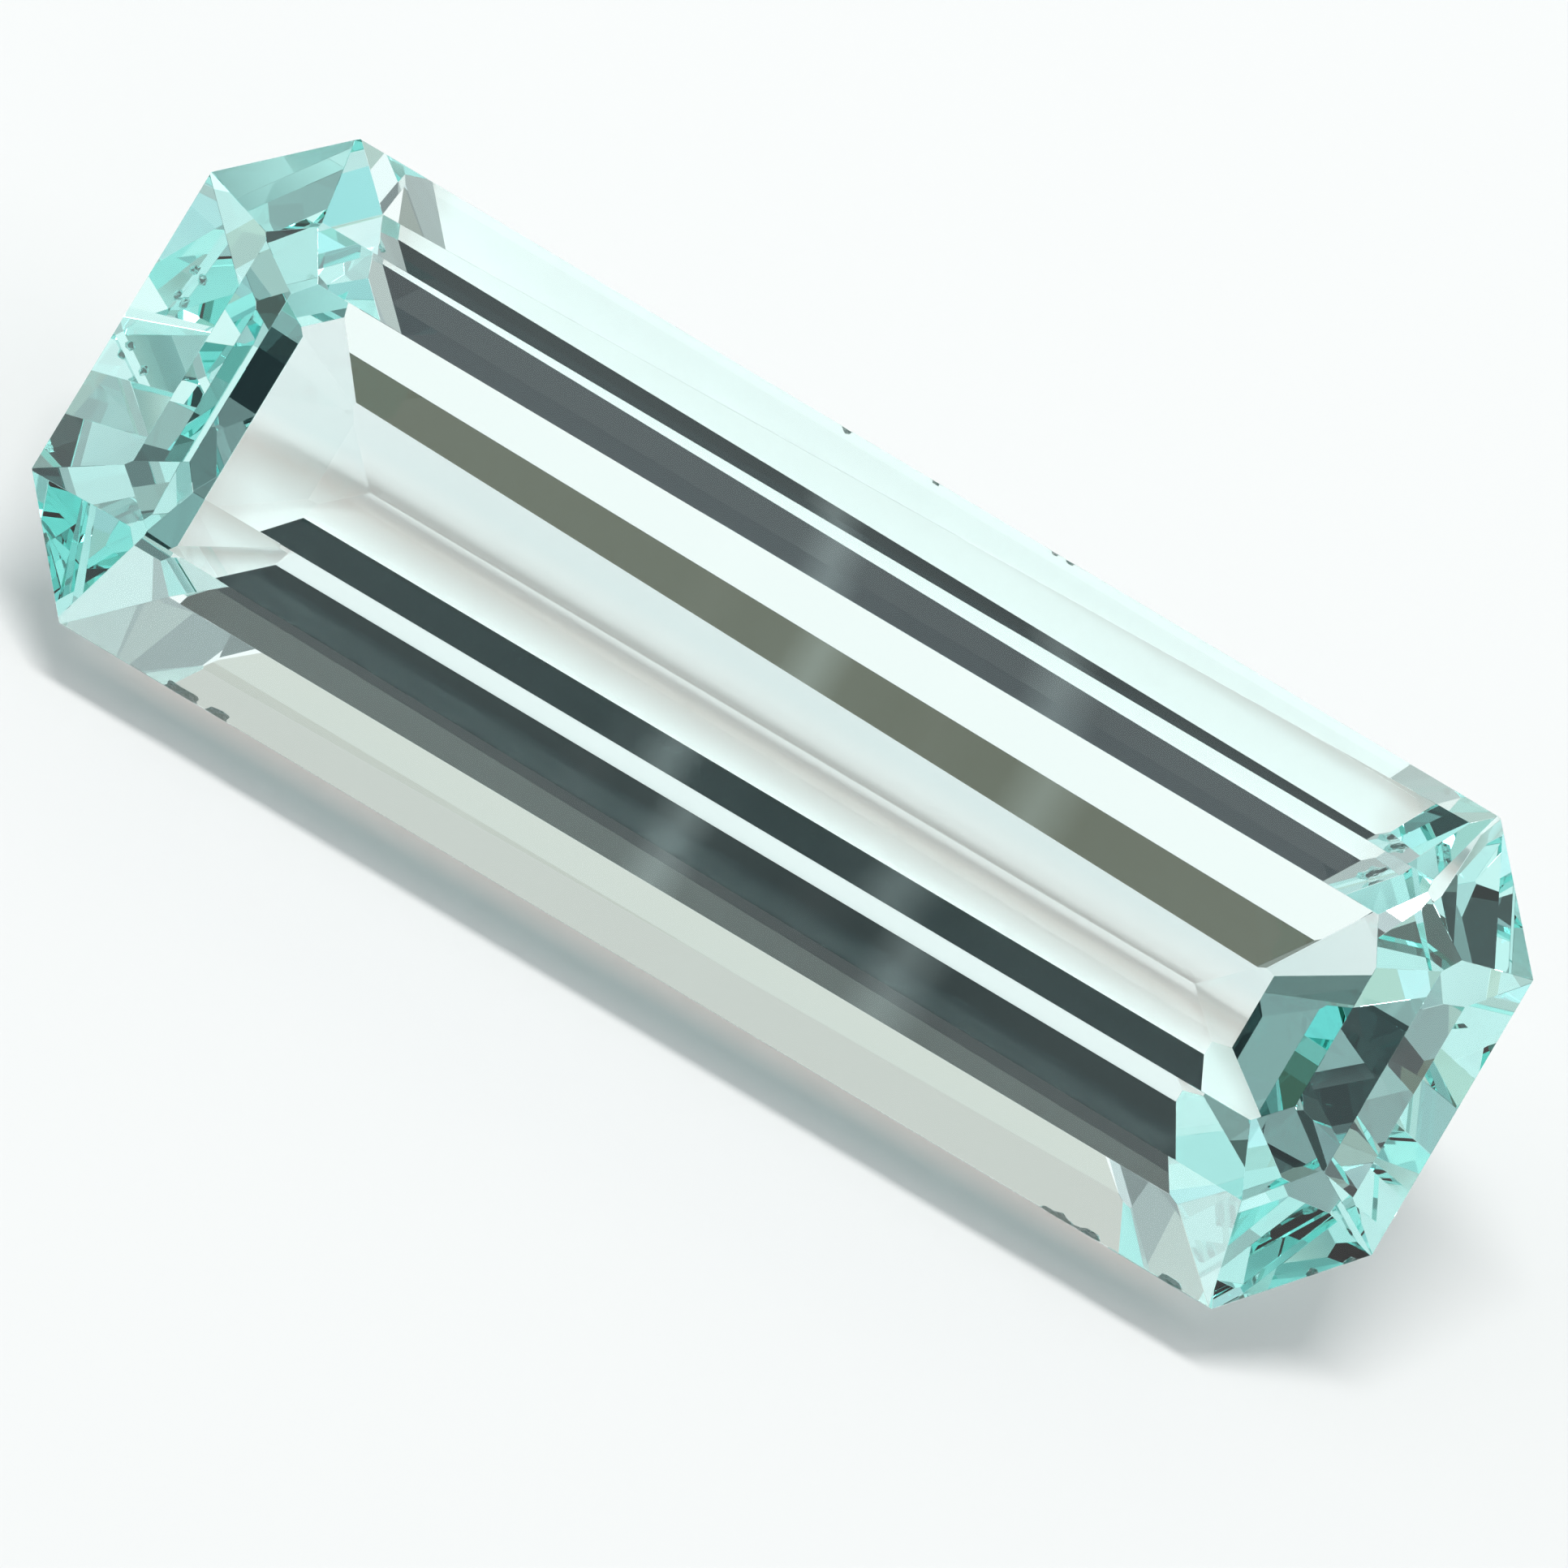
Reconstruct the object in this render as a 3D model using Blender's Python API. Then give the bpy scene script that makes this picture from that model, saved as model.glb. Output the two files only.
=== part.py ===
# A loose aquamarine, step cut with cut corners, lying on one long facet of its pavilion.
# The stone is one solid, cut as a lapidary cuts it: a block is ground flat, facet by facet.
# Millimetres in the values, metres in the model, +Z up, +X along the stone.

import math

import bmesh
import bpy
from mathutils import Matrix, Vector

MM = 0.001

# Overall sizes, square to the table
LENGTH = 26.00
WIDTH = 9.60

# Heights, counted from the top edge of the girdle
STEP_HEIGHT = 1.14
TABLE_HEIGHT = 1.64
GIRDLE_THICKNESS = 0.18
KEEL_DEPTH = 4.63

# The keel, where the two sides of the pavilion meet, runs along the stone between these places
KEEL_LEFT = -8.03
KEEL_RIGHT = 8.23

# The table isn't quite level with the girdle: it stands a little higher at the +X end
TABLE_TIP = math.radians(0.15)

# Sides with a third row of pavilion facets, which meet at the keel
KEEL_SIDES = ("right", "upper", "left", "lower")

# The long facet the stone lies on
RESTING_FACET = ("lower", 2)

# Plan directions of the eight sides, in degrees from +X
DIRECTIONS = {
    "right": 0.0,
    "upper": 90.0,
    "left": 180.0,
    "lower": -90.0,
    "upper_right": 41.8,
    "upper_left": 133.8,
    "lower_left": -139.1,
    "lower_right": -40.6,
}

# How far each side reaches from the stone's middle at the girdle
GIRDLE_REACH = {
    "right": LENGTH / 2,
    "upper": WIDTH / 2,
    "left": LENGTH / 2,
    "lower": WIDTH / 2,
    "upper_right": 11.51,
    "upper_left": 11.18,
    "lower_left": 11.67,
    "lower_right": 11.59,
}

# Crown facets next to the girdle: how far each leans in on its way up to the step
STEP_INSET = {
    "right": 1.46,
    "upper": 1.655,
    "left": 1.455,
    "lower": 1.795,
    "upper_right": 1.44,
    "upper_left": 1.41,
    "lower_left": 1.62,
    "lower_right": 1.55,
}

# Crown facets next to the table: plan direction, reach at the step and inset up to the table
TABLE_FACETS = {
    "right": (0.0, 11.54, 0.945),
    "upper": (90.0, 3.145, 1.015),
    "left": (180.0, 11.545, 0.89),
    "lower": (-90.0, 3.005, 1.08),
    "upper_right": (28.5, 11.06, 1.09),
    "upper_left": (141.0, 10.46, 1.10),
    "lower_left": (-142.5, 10.35, 0.98),
    "lower_right": (-42.0, 9.91, 1.12),
}

# Pavilion: (reach, depth) where the first row of facets ends and of a line the second runs down to
PAVILION_BREAKS = {
    "right": ((11.60, 1.93), (9.31, 4.13)),
    "upper": ((3.79, 1.43), (0.96, 4.18)),
    "left": ((10.33, 3.17), (8.86, 4.24)),
    "lower": ((2.51, 3.04), (0.98, 4.16)),
    "upper_right": ((9.40, 2.46), (7.35, 4.22)),
    "upper_left": ((8.45, 3.06), (6.92, 4.20)),
    "lower_left": ((9.20, 3.05), (7.20, 4.20)),
    "lower_right": ((9.20, 2.86), (7.42, 4.18)),
}

# Small turns in plan that leave the long facets not quite parallel, as cut by hand
TURNS = {
    ("upper", "step"): 0.31,
    ("lower", "step"): -0.31,
    ("upper", "table"): 0.36,
    ("lower", "table"): -0.27,
    ("upper", 2): -0.64,
}


def plan_direction(degrees):
    """Unit vector in plan, counted from +X."""
    return Vector((math.cos(math.radians(degrees)), math.sin(math.radians(degrees)), 0.0))


def grind(stone, point, normal):
    """Cut the stone flat at a plane and close the cut with one facet."""
    everything = stone.verts[:] + stone.edges[:] + stone.faces[:]
    cut = bmesh.ops.bisect_plane(stone, geom=everything, plane_co=point * MM, plane_no=normal,
                                 dist=1e-8, clear_outer=True)
    rim = [item for item in cut["geom_cut"] if isinstance(item, bmesh.types.BMEdge)]
    if rim:
        bmesh.ops.contextual_create(stone, geom=rim)


def facet(direction, turn, outer, inner):
    """Point and outward normal of a facet through two level lines, each a (reach, height)."""
    outward = plan_direction(direction + turn)
    middle = plan_direction(direction)
    run = Vector((inner[0] - outer[0], inner[1] - outer[1])).normalized()
    lean = Vector((run.y, -run.x))
    if lean.x < 0:
        lean = -lean
    point = middle * outer[0] + Vector((0.0, 0.0, outer[1]))
    return point, outward * lean.x + Vector((0.0, 0.0, lean.y))


def crown_facets(name):
    """The two crown facets on one side of the stone."""
    reach = GIRDLE_REACH[name]
    step = (reach - STEP_INSET[name], STEP_HEIGHT)
    yield facet(DIRECTIONS[name], TURNS.get((name, "step"), 0.0), (reach, 0.0), step)
    direction, reach, inset = TABLE_FACETS[name]
    table = (reach - inset, TABLE_HEIGHT)
    yield facet(direction, TURNS.get((name, "table"), 0.0), (reach, STEP_HEIGHT), table)


def keel_reach(name):
    """How far the nearer end of the keel lies from the stone's middle, towards one side."""
    towards = plan_direction(DIRECTIONS[name]).x
    return max(towards * KEEL_LEFT, towards * KEEL_RIGHT)


def pavilion_levels(name):
    """The level lines that a side's pavilion facets run between, from the girdle down."""
    levels = [(GIRDLE_REACH[name], -GIRDLE_THICKNESS)]
    for reach, depth in PAVILION_BREAKS[name]:
        levels.append((reach, -depth))
    if name in KEEL_SIDES:
        levels.append((keel_reach(name), -KEEL_DEPTH))
    return levels


def pavilion_facet(name, row):
    """One pavilion facet; row 1 meets the girdle, row 3 the keel."""
    levels = pavilion_levels(name)
    return facet(DIRECTIONS[name], TURNS.get((name, row), 0.0), levels[row - 1], levels[row])


def cut_stone():
    """The whole stone with its table up, around the middle of the girdle's top edge."""
    stone = bmesh.new()
    bmesh.ops.create_cube(stone, size=1.0)
    block = Vector((LENGTH, WIDTH, 4 * KEEL_DEPTH)) * MM
    bmesh.ops.scale(stone, vec=block, verts=stone.verts)
    for name, direction in DIRECTIONS.items():
        outward = plan_direction(direction)
        grind(stone, outward * GIRDLE_REACH[name], outward)
    for name in DIRECTIONS:
        for point, normal in crown_facets(name):
            grind(stone, point, normal)
        for row in range(1, len(pavilion_levels(name))):
            grind(stone, *pavilion_facet(name, row))
    table_normal = Vector((-math.sin(TABLE_TIP), 0.0, math.cos(TABLE_TIP)))
    grind(stone, Vector((0.0, 0.0, TABLE_HEIGHT)), table_normal)
    return stone


def lay_down(stone):
    """Turn the stone about its length until its resting facet is level, and set it on the ground."""
    name, row = RESTING_FACET
    down = pavilion_facet(name, row)[1]
    tilt = math.atan2(-down.y, -down.z)
    bmesh.ops.rotate(stone, cent=(0, 0, 0), matrix=Matrix.Rotation(tilt, 3, "X"), verts=stone.verts)
    low = Vector([min(v.co[axis] for v in stone.verts) for axis in range(3)])
    high = Vector([max(v.co[axis] for v in stone.verts) for axis in range(3)])
    to_origin = Vector((-(low.x + high.x) / 2, -(low.y + high.y) / 2, -low.z))
    bmesh.ops.translate(stone, vec=to_origin, verts=stone.verts)


def clear_beryl():
    """Pale blue-green see-through stone."""
    material = bpy.data.materials.new("clear_beryl")
    material.use_nodes = True
    shader = material.node_tree.nodes["Principled BSDF"]
    shader.inputs["Base Color"].default_value = (0.80, 0.95, 0.94, 1.0)
    shader.inputs["Roughness"].default_value = 0.0
    shader.inputs["IOR"].default_value = 1.577
    shader.inputs["Transmission Weight"].default_value = 1.0
    return material


def main():
    for old in list(bpy.data.objects):
        bpy.data.objects.remove(old, do_unlink=True)
    collection = bpy.data.collections.new("aquamarine")
    bpy.context.scene.collection.children.link(collection)
    stone = cut_stone()
    lay_down(stone)
    bmesh.ops.recalc_face_normals(stone, faces=stone.faces)
    mesh = bpy.data.meshes.new("faceted_aquamarine")
    stone.to_mesh(mesh)
    stone.free()
    mesh.materials.append(clear_beryl())
    collection.objects.link(bpy.data.objects.new("faceted_aquamarine", mesh))


main()
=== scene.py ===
# %% [markdown]
# # A pale aquamarine, cut and polished
# This lesson dresses one faceted gemstone. The stone's shape comes from the CAD frame; here it
# gets its finish: fine facet edges, wear along the girdle, and clear blue-green beryl.
# Everything is in metres. The stone lies along X, its table faces up and towards -Y.

# %% Load the frame
import math

import bmesh
import bpy
from mathutils import Matrix, Vector, noise


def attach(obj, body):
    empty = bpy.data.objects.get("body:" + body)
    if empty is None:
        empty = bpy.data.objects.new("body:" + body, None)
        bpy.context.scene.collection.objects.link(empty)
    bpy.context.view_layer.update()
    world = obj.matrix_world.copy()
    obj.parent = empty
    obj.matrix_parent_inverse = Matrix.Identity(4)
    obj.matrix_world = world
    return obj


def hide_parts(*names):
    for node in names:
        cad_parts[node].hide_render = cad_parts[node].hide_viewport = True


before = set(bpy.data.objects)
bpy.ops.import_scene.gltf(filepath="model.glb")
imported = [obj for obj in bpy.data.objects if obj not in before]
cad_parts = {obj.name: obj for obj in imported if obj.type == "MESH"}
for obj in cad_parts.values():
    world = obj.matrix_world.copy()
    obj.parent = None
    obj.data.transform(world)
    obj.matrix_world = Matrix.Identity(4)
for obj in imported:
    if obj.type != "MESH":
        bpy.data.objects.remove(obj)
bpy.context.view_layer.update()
MM = 0.001

# %% [markdown]
# ## Where the stone's own directions point
# The table is the largest flat face that looks up, so its normal is read from the mesh. The
# camera is set from it: it stands nearly square to the table, a few degrees nearer the floor.

# %% Read the table's direction from the stone
LOOKS_UP = 0.3

stone_node = bpy.data.objects["faceted_aquamarine"]


def table_normal(mesh):
    """Area-weighted normal of the largest flat face that looks up."""
    groups = {}
    for face in mesh.polygons:
        if face.normal.z > LOOKS_UP:
            key = tuple(round(value, 3) for value in face.normal)
            groups.setdefault(key, []).append(face)
    largest = max(groups.values(), key=lambda faces: sum(face.area for face in faces))
    return sum((face.normal * face.area for face in largest), Vector()).normalized()


table = table_normal(stone_node.data)
table_tilt = math.atan2(-table.y, table.z)
print("table tilts towards -Y by", round(math.degrees(table_tilt), 2), "degrees")

# %% [markdown]
# ## The camera
# The photo is nearly free of perspective, so the lens is long. The stone's length runs down to
# the right across the picture, which the camera's roll gives.

# %% Place the camera
VIEW_PAST_TABLE = math.radians(6.0)
ROLL = math.radians(30.79)
CAMERA_DISTANCE = 200 * MM
PICTURE_WIDTH = 26.28 * MM
SENSOR = 36.0
AIM = Vector((0.0, 0.0, 3.9)) * MM
AIM_RIGHT = -0.02 * MM
AIM_UP = -1.04 * MM


def place_camera():
    """Camera nearly square to the table, rolled so that the stone runs down to the right."""
    lean = table_tilt + VIEW_PAST_TABLE
    towards_camera = Vector((0.0, -math.sin(lean), math.cos(lean)))
    up_slope = Vector((0.0, math.cos(lean), math.sin(lean)))
    along = Vector((1.0, 0.0, 0.0))
    right = along * math.cos(ROLL) + up_slope * math.sin(ROLL)
    up = up_slope * math.cos(ROLL) - along * math.sin(ROLL)
    data = bpy.data.cameras.new("camera")
    data.sensor_width = SENSOR
    data.lens = SENSOR * CAMERA_DISTANCE / PICTURE_WIDTH
    data.clip_start = 10 * MM
    data.clip_end = 10.0
    camera = bpy.data.objects.new("camera", data)
    bpy.context.scene.collection.objects.link(camera)
    axes = Matrix((right, up, towards_camera)).transposed()
    place = AIM + right * AIM_RIGHT + up * AIM_UP + towards_camera * CAMERA_DISTANCE
    camera.matrix_world = Matrix.Translation(place) @ axes.to_4x4()
    bpy.context.scene.camera = camera
    return camera


camera = place_camera()
print("lens", round(camera.data.lens, 1), "mm")

# %% [markdown]
# ## The paper and the light
# The stone lies on white paper. A cut stone shows little but its surroundings, bent and mirrored
# by its facets, so the light matters as much as the stone: a broad soft light overhead and on the
# far side (+Y), and a dark room behind the camera.
#
# The paper glows a little, and more under the stone. That isn't physical: it was set for the
# camera's angle, and stands in for the light that a real stone gathers there.

# %% Lay the paper
PAPER_HALF_SIDE = 1.2
PAPER_GAP = 0.02 * MM
PAPER_COLOUR = (0.69, 0.71, 0.71)
PAPER_ROUGHNESS = 0.9
PAPER_SHINE = 0.1
# Painted light: the paper's glow is faint and bluish in the open, warm at the patch's edge and
# brightest under the stone.
OPEN_GLOW = (0.030, 0.065, 0.070)
HALF_GLOW = (0.23, 0.14, 0.115)
LIT_GLOW = (0.49, 0.475, 0.465)
LIT_LENGTH = 9.4 * MM
LIT_WIDTH = 1.7 * MM
LIT_EDGE = 1.8 * MM


def map_range(nodes, low, high):
    """Range from low to high turned into 0 to 1."""
    node = nodes.new("ShaderNodeMapRange")
    node.inputs["From Min"].default_value = low
    node.inputs["From Max"].default_value = high
    return node


def maths(nodes, operation):
    """Maths node."""
    node = nodes.new("ShaderNodeMath")
    node.operation = operation
    return node


def colour_ramp(nodes, places):
    """Colour ramp through (position, colour) pairs."""
    ramp = nodes.new("ShaderNodeValToRGB")
    stops = ramp.color_ramp.elements
    while len(stops) < len(places):
        stops.new(1.0)
    for stop, (position, colour) in zip(stops, places):
        stop.position = position
        stop.color = (*colour, 1.0)
    return ramp


def painted_glow_patch(tree):
    """Mask for the painted glow: 1 on the paper under the stone, where a real stone gathers light,
    and 0 away from it.
    """
    nodes, links = tree.nodes, tree.links
    where = nodes.new("ShaderNodeTexCoord")
    split = nodes.new("ShaderNodeSeparateXYZ")
    links.new(where.outputs["Object"], split.inputs[0])
    both = maths(nodes, "MULTIPLY")
    for slot, (axis, reach) in enumerate((("X", LIT_LENGTH), ("Y", LIT_WIDTH))):
        away = maths(nodes, "ABSOLUTE")
        fade = map_range(nodes, reach + LIT_EDGE, reach)
        links.new(split.outputs[axis], away.inputs[0])
        links.new(away.outputs[0], fade.inputs["Value"])
        links.new(fade.outputs["Result"], both.inputs[slot])
    return both.outputs[0]


def make_paper():
    """Matt white sheet just under the stone, with a painted glow that is brightest where a real
    stone gathers light on it.
    """
    sheet = bmesh.new()
    bmesh.ops.create_grid(sheet, x_segments=1, y_segments=1, size=PAPER_HALF_SIDE)
    bmesh.ops.translate(sheet, vec=(0, 0, -PAPER_GAP), verts=sheet.verts)
    mesh = bpy.data.meshes.new("paper")
    sheet.to_mesh(mesh)
    sheet.free()
    material = bpy.data.materials.new("white_paper")
    material.use_nodes = True
    shader = material.node_tree.nodes["Principled BSDF"]
    shader.inputs["Base Color"].default_value = (*PAPER_COLOUR, 1.0)
    shader.inputs["Roughness"].default_value = PAPER_ROUGHNESS
    shader.inputs["Specular IOR Level"].default_value = PAPER_SHINE
    shader.inputs["Emission Strength"].default_value = 1.0
    nodes, links = material.node_tree.nodes, material.node_tree.links
    glow = colour_ramp(nodes, [(0.0, OPEN_GLOW), (0.5, HALF_GLOW), (1.0, LIT_GLOW)])
    links.new(painted_glow_patch(material.node_tree), glow.inputs["Fac"])
    links.new(glow.outputs["Color"], shader.inputs["Emission Color"])
    mesh.materials.append(material)
    paper = bpy.data.objects.new("paper", mesh)
    bpy.context.scene.collection.objects.link(paper)


make_paper()
print("paper:", 2 * PAPER_HALF_SIDE, "m across")

# %% [markdown]
# The sky's colour follows the angle across the stone: 0 degrees is level on the far side (+Y), 90
# overhead and 180 level behind the camera. A colour ramp could be painted as a picture too, but
# stops with an angle each are easy to read and to move. The dark part also changes along the stone.

# %% Light it from overhead and the far side
SKY = [
    (0, (1.50, 1.43, 1.41)),
    (8, (0.70, 0.70, 0.68)),
    (18, (0.68, 0.66, 0.62)),
    (30, (0.74, 0.74, 0.69)),
    (40, (0.83, 0.80, 0.71)),
    (47, (0.56, 0.58, 0.58)),
    (53, (0.50, 0.53, 0.54)),
    (60, (0.80, 0.82, 0.85)),
    (68, (1.1, 1.14, 1.2)),
    (80, (1.18, 1.08, 1.08)),
    (94, (1.32, 1.13, 1.12)),
    (104, (1.12, 1.08, 1.08)),
    (109, (0.50, 0.52, 0.54)),
    (114, (0.012, 0.014, 0.016)),
    (135.5, (0.014, 0.019, 0.024)),
    (139, (0.17, 0.165, 0.15)),
    (144, (0.19, 0.165, 0.125)),
    (156, (0.11, 0.10, 0.09)),
    (180, (0.12, 0.12, 0.12)),
]

# The dark part of the sky starts between these angles
DARK_FROM = math.radians(111)
DARK_FULL = math.radians(115)

# Narrow paler gaps in the dark part, by the direction's share along the stone
GAP_SPAN = 0.06
GAPS = [
    (-0.050, 0.014),
    (-0.0245, 0.008),
    (-0.0215, 0.016),
    (-0.0185, 0.150),
    (-0.0155, 0.010),
    (-0.0100, 0.0),
    (0.0000, 0.0),
    (0.0035, 0.120),
    (0.0075, 0.0),
    (0.0160, 0.010),
    (0.0450, 0.016),
]

# The dark part is paler towards the stone's ends, by the direction's share along the stone
SIDES = [
    (-1.0, 0.50), (-0.7, 0.45), (-0.5, 0.24), (-0.3, 0.02), (-0.15, 0.0), (0.12, 0.0),
    (0.22, 0.30), (0.36, 0.44), (0.46, 0.42), (0.56, 0.20), (0.75, 0.45), (1.0, 0.50),
]


def soft_light():
    """World whose brightness is a ramp over the angle across the stone, with a few pale gaps."""
    world = bpy.data.worlds.new("soft_light")
    world.use_nodes = True
    nodes = world.node_tree.nodes
    links = world.node_tree.links
    where = nodes.new("ShaderNodeTexCoord")
    split = nodes.new("ShaderNodeSeparateXYZ")
    links.new(where.outputs["Generated"], split.inputs[0])
    angle = maths(nodes, "ARCTAN2")
    links.new(split.outputs["Z"], angle.inputs[0])
    links.new(split.outputs["Y"], angle.inputs[1])
    scale = map_range(nodes, 0.0, math.pi)
    links.new(angle.outputs[0], scale.inputs["Value"])
    sky = colour_ramp(nodes, [(degrees / 180, colour) for degrees, colour in SKY])
    links.new(scale.outputs["Result"], sky.inputs["Fac"])
    dark_part = map_range(nodes, DARK_FROM, DARK_FULL)
    links.new(angle.outputs[0], dark_part.inputs["Value"])
    light = sky.outputs["Color"]
    for span, places in ((GAP_SPAN, GAPS), (1.0, SIDES)):
        along = map_range(nodes, -span, span)
        links.new(split.outputs["X"], along.inputs["Value"])
        pale = colour_ramp(nodes, [((x / span + 1) / 2, (value,) * 3) for x, value in places])
        links.new(along.outputs["Result"], pale.inputs["Fac"])
        added = nodes.new("ShaderNodeMix")
        added.data_type = "RGBA"
        added.blend_type = "ADD"
        # A Mix node's colour sockets are its inputs 6 and 7 and its output 2
        links.new(dark_part.outputs["Result"], added.inputs["Factor"])
        links.new(light, added.inputs[6])
        links.new(pale.outputs["Color"], added.inputs[7])
        light = added.outputs[2]
    links.new(light, nodes["Background"].inputs["Color"])
    return world


bpy.context.scene.world = soft_light()
print("sky:", len(SKY), "stops,", len(GAPS), "for the gaps,", len(SIDES), "for the ends")

# %% [markdown]
# A softbox high on the far side throws the stone's shadow towards -Y. It is an area light and not
# a point light, because a long soft light gives the shadow its soft edge.

# %% Hang the softbox
SOFTBOX_PLACE = Vector((-0.09, 0.10, 0.475))
SOFTBOX_LENGTH = 0.30
SOFTBOX_WIDTH = 0.07
SOFTBOX_POWER = 1.55
SOFTBOX_COLOUR = (1.0, 0.96, 0.945)


def hang_softbox():
    """Long soft light that faces the stone, its length along X."""
    data = bpy.data.lights.new("softbox", "AREA")
    data.shape = "RECTANGLE"
    data.size = SOFTBOX_LENGTH
    data.size_y = SOFTBOX_WIDTH
    data.energy = SOFTBOX_POWER
    data.color = SOFTBOX_COLOUR
    lamp = bpy.data.objects.new("softbox", data)
    back = SOFTBOX_PLACE.normalized()
    across = back.cross(Vector((1.0, 0.0, 0.0))).normalized()
    axes = Matrix((across.cross(back), across, back)).transposed()
    lamp.matrix_world = Matrix.Translation(SOFTBOX_PLACE) @ axes.to_4x4()
    bpy.context.scene.collection.objects.link(lamp)


hang_softbox()
print("softbox:", round(SOFTBOX_PLACE.length, 2), "m from the stone")
bpy.context.scene.view_settings.view_transform = "Standard"

# %% [markdown]
# ## Clear beryl
# Beryl bends light by 1.577. Its colour is in the body of the stone, not on its surface: long
# paths through it turn greener blue, short ones stay nearly clear, so the colour is absorption.

# %% Make the beryl
BERYL_BENDING = 1.577
BERYL_TINT = (0.30, 0.88, 0.84)
BERYL_ABSORPTION = 31.0


def clear_beryl():
    """Polished see-through stone with its colour in its volume."""
    material = bpy.data.materials.new("polished_beryl")
    material.use_nodes = True
    tree = material.node_tree
    shader = tree.nodes["Principled BSDF"]
    shader.inputs["Base Color"].default_value = (1.0, 1.0, 1.0, 1.0)
    shader.inputs["Roughness"].default_value = 0.0
    shader.inputs["IOR"].default_value = BERYL_BENDING
    shader.inputs["Transmission Weight"].default_value = 1.0
    volume = tree.nodes.new("ShaderNodeVolumeAbsorption")
    volume.inputs["Color"].default_value = (*BERYL_TINT, 1.0)
    volume.inputs["Density"].default_value = BERYL_ABSORPTION
    tree.links.new(volume.outputs["Volume"], tree.nodes["Material Output"].inputs["Volume"])
    return material


beryl = clear_beryl()
print("material:", beryl.name)

# %% [markdown]
# ## Fine facet edges
# Polished edges are never perfectly sharp, so each facet edge gets a very fine bevel. The CAD stone
# is loose triangles, so a copy is merged and its flat facets are rejoined first: otherwise the
# bevel would also run along the lines inside a facet.

# %% Rejoin the facets and bevel their edges
EDGE_BEVEL = 0.012 * MM
SAME_POINT = 1e-6
FLAT = math.radians(0.1)


def facets_of_stone():
    """The CAD stone with its triangles joined back into flat facets, edges finely bevelled."""
    solid = bmesh.new()
    solid.from_mesh(stone_node.data)
    bmesh.ops.remove_doubles(solid, verts=solid.verts, dist=SAME_POINT)
    bmesh.ops.dissolve_limit(solid, angle_limit=FLAT, verts=solid.verts, edges=solid.edges)
    print("facets:", len(solid.faces))
    bmesh.ops.bevel(solid, geom=solid.edges[:], offset=EDGE_BEVEL, offset_type="OFFSET",
                    segments=1, profile=0.5, affect="EDGES", clamp_overlap=True, material=-1)
    for face in solid.faces:
        face.smooth = False
    mesh = bpy.data.meshes.new("aquamarine")
    solid.to_mesh(mesh)
    solid.free()
    mesh.materials.append(beryl)
    return mesh


facet_mesh = facets_of_stone()
print("faces with their bevels:", len(facet_mesh.polygons))

# %% [markdown]
# ## Nicks along the girdle
# The girdle, the stone's widest edge, has small nicks. Each is a shallow scoop at a place given in
# the stone's own plan: along the stone, across it, and up from the girdle's top edge. So the plan
# has to be found first, from the table's tilt and the stone's own width and height.

# %% Find the stone's own plan
TABLE_HEIGHT = 1.64 * MM


def stone_axes(mesh):
    """Matrix from the stone's own plan, table up and girdle at zero, to where it lies."""
    turn = Matrix.Rotation(table_tilt, 3, "X")
    level = [turn.inverted() @ vertex.co for vertex in mesh.vertices]
    across = [place.y for place in level]
    top = max(place.z for place in level)
    middle = Vector((0.0, (max(across) + min(across)) / 2, top - TABLE_HEIGHT))
    return Matrix.Translation(turn @ middle) @ turn.to_4x4()


own_axes = stone_axes(facet_mesh)
print("girdle's middle in mm:", [round(value / MM, 2) for value in own_axes.translation])

# %% [markdown]
# Broken beryl isn't polished. A little roughness and a fine bump give the shell-like ripples of a
# break, and a dark tint stands in for the shade that the nicks show.

# %% Make the broken beryl, with painted shade
# Painted shade: the nicks' walls are tinted dark for the shade that falls in them.
NICK_PAINTED_SHADE = (0.10, 0.13, 0.13)
BROKEN_ROUGHNESS = 0.12
RIPPLE_SCALE = 9000.0
RIPPLE_DETAIL = 3.0
RIPPLE_HEIGHT = 0.06 * MM


def rough_shaded_beryl():
    """The same stone where its skin is broken: shell-like ripples, tinted dark as painted shade."""
    material = beryl.copy()
    material.name = "broken_beryl_painted_shade"
    nodes, links = material.node_tree.nodes, material.node_tree.links
    shader = nodes["Principled BSDF"]
    shader.inputs["Base Color"].default_value = (*NICK_PAINTED_SHADE, 1.0)
    shader.inputs["Roughness"].default_value = BROKEN_ROUGHNESS
    where = nodes.new("ShaderNodeTexCoord")
    ripples = nodes.new("ShaderNodeTexNoise")
    ripples.inputs["Scale"].default_value = RIPPLE_SCALE
    ripples.inputs["Detail"].default_value = RIPPLE_DETAIL
    relief = nodes.new("ShaderNodeBump")
    relief.inputs["Distance"].default_value = RIPPLE_HEIGHT
    links.new(where.outputs["Object"], ripples.inputs["Vector"])
    links.new(ripples.outputs["Fac"], relief.inputs["Height"])
    links.new(relief.outputs["Normal"], shader.inputs["Normal"])
    return material


# The broken beryl carries the nicks' painted shade as its dark tint.
broken = rough_shaded_beryl()
print("material:", broken.name)

# %% [markdown]
# A nick is never round, so each scoop is a small ball whose points are pushed in and out by noise.
# The noise reads the nick's own place, so no two are alike, and each is the same in every run.

# %% Shape the scoops
GIRDLE_SIDE = 4.8
LONG_SIDE_END = 11.5
UNEVEN = 0.55
LUMPS = 3.1
RISE = 0.7

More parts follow.
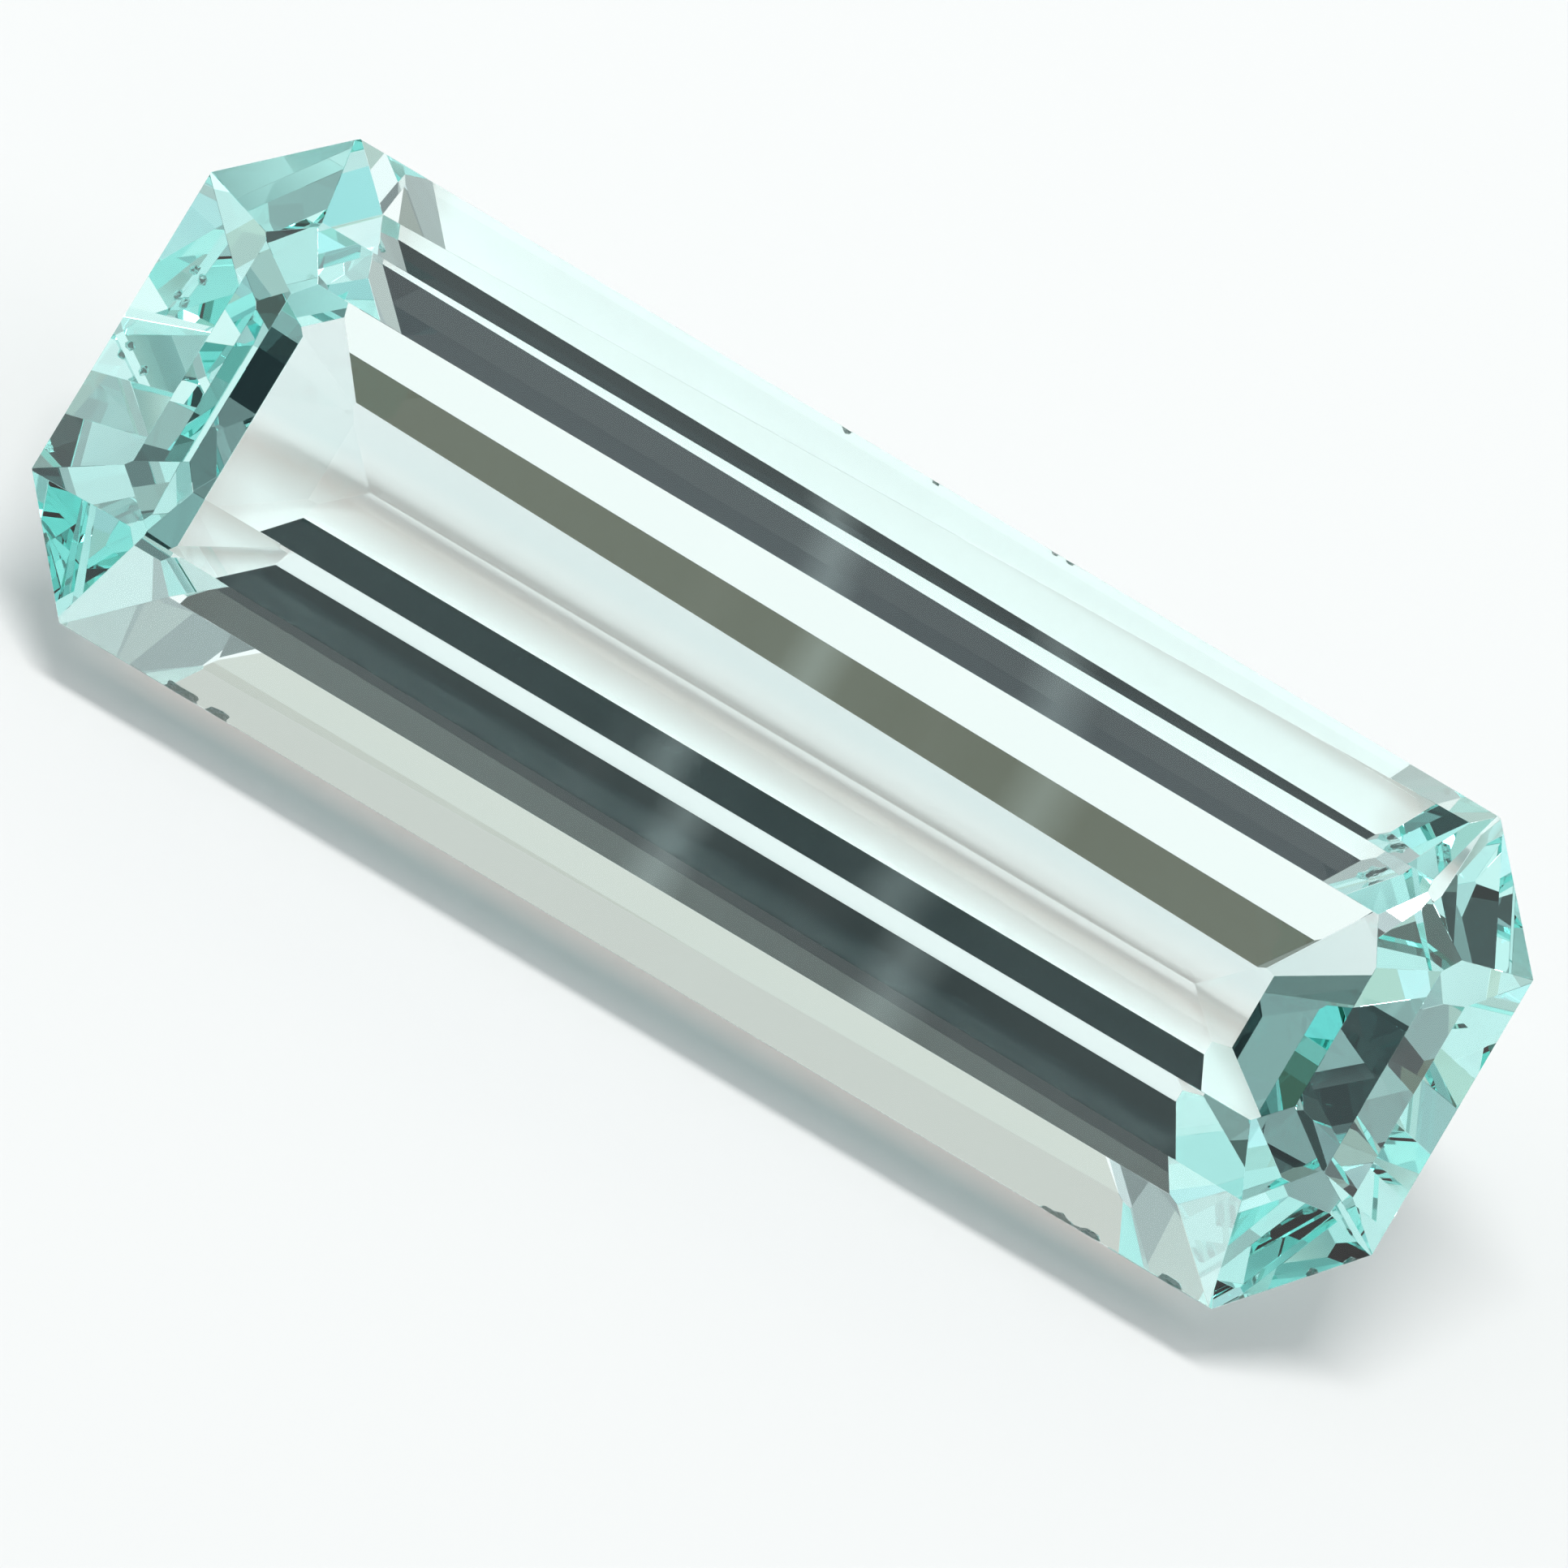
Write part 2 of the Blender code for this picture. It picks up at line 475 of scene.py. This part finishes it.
# Place in mm (along, across, up), length and width of the scoop, and how deep it bites
NICKS = [
    ((-1.62, GIRDLE_SIDE, 0.0), 0.26, 0.20, 0.07),
    ((0.12, GIRDLE_SIDE, 0.0), 0.22, 0.18, 0.05),
    ((2.42, GIRDLE_SIDE, 0.0), 0.24, 0.18, 0.05),
    ((2.72, GIRDLE_SIDE, 0.0), 0.24, 0.18, 0.06),
    ((-8.92, -GIRDLE_SIDE, -0.02), 0.74, 0.26, 0.11),
    ((-8.20, -GIRDLE_SIDE, -0.02), 0.50, 0.24, 0.10),
    ((8.10, -GIRDLE_SIDE, -0.02), 0.60, 0.24, 0.10),
    ((8.72, -GIRDLE_SIDE, 0.0), 0.52, 0.22, 0.09),
    ((10.30, -GIRDLE_SIDE, 0.0), 0.48, 0.30, 0.12),
    ((12.30, -3.45, 0.0), 0.26, 0.28, 0.11),
    ((12.75, -2.95, -0.04), 0.24, 0.26, 0.09),
    ((-12.20, -3.75, 0.0), 0.24, 0.26, 0.08),
]


def scoop(name, place, length, width, bite):
    """Small uneven lump that bites into the girdle from outside."""
    ball = bmesh.new()
    bmesh.ops.create_icosphere(ball, subdivisions=2, radius=0.5)
    for vertex in ball.verts:
        vertex.co *= 1 + UNEVEN * noise.noise(vertex.co * LUMPS + place)
    outward = Vector((0.0, place.y, 0.0))
    if abs(place.x) > LONG_SIDE_END:
        outward = Vector((place.x, place.y / 2, 0.0))
    outward = (outward.normalized() + Vector((0.0, 0.0, RISE))).normalized()
    centre = (place + outward * (width / 2 - bite)) * MM
    bmesh.ops.scale(ball, vec=Vector((length, width, width)) * MM, verts=ball.verts)
    bmesh.ops.translate(ball, vec=centre, verts=ball.verts)
    bmesh.ops.transform(ball, matrix=own_axes, verts=ball.verts)
    mesh = bpy.data.meshes.new(name)
    ball.to_mesh(mesh)
    ball.free()
    mesh.materials.append(broken)
    cutter = bpy.data.objects.new(name, mesh)
    bpy.context.scene.collection.objects.link(cutter)
    return cutter


print("nicks:", len(NICKS))

# %% [markdown]
# A Boolean modifier takes each scoop out of the stone and leaves the scoop's own material on the
# wall of the hole. The result is kept as the stone's mesh, and the scoops are removed.

# %% Cut the nicks
def bite_nicks(stone):
    """Cut every scoop out of the stone, leaving its rough surface, tinted dark as painted shade,
    behind.
    """
    cutters = []
    for number, (place, length, width, bite) in enumerate(NICKS):
        cutter = scoop(f"nick_{number}", Vector(place), length, width, bite)
        cut = stone.modifiers.new(f"nick_{number}", "BOOLEAN")
        cut.operation = "DIFFERENCE"
        cut.object = cutter
        cut.solver = "EXACT"
        cut.material_mode = "TRANSFER"
        cutters.append(cutter)
    graph = bpy.context.evaluated_depsgraph_get()
    bitten = bpy.data.meshes.new_from_object(stone.evaluated_get(graph))
    stone.modifiers.clear()
    stone.data = bitten
    for cutter in cutters:
        bpy.data.objects.remove(cutter, do_unlink=True)
    for face in bitten.polygons:
        face.use_smooth = False
    print("stone faces after nicks:", len(bitten.polygons),
          [slot.name for slot in bitten.materials])


stone = bpy.data.objects.new("aquamarine", facet_mesh)
bpy.context.scene.collection.objects.link(stone)
bite_nicks(stone)

# %% [markdown]
# The dressed stone rides on the part's one body and stands in for the plain CAD stone.

# %% Tie the stone to the part
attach(stone, "root")
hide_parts("faceted_aquamarine")

# %% [markdown]
# Light is mirrored many times inside the stone before it leaves, so paths have to be long.

# %% Let light travel far inside the stone
BOUNCES_IN_STONE = 24
BOUNCES_ON_PAPER = 4

cycles = bpy.context.scene.cycles
cycles.max_bounces = BOUNCES_IN_STONE
cycles.transmission_bounces = BOUNCES_IN_STONE
cycles.glossy_bounces = BOUNCES_IN_STONE
cycles.transparent_max_bounces = BOUNCES_IN_STONE
cycles.diffuse_bounces = BOUNCES_ON_PAPER
print("bounces in the stone:", cycles.max_bounces)
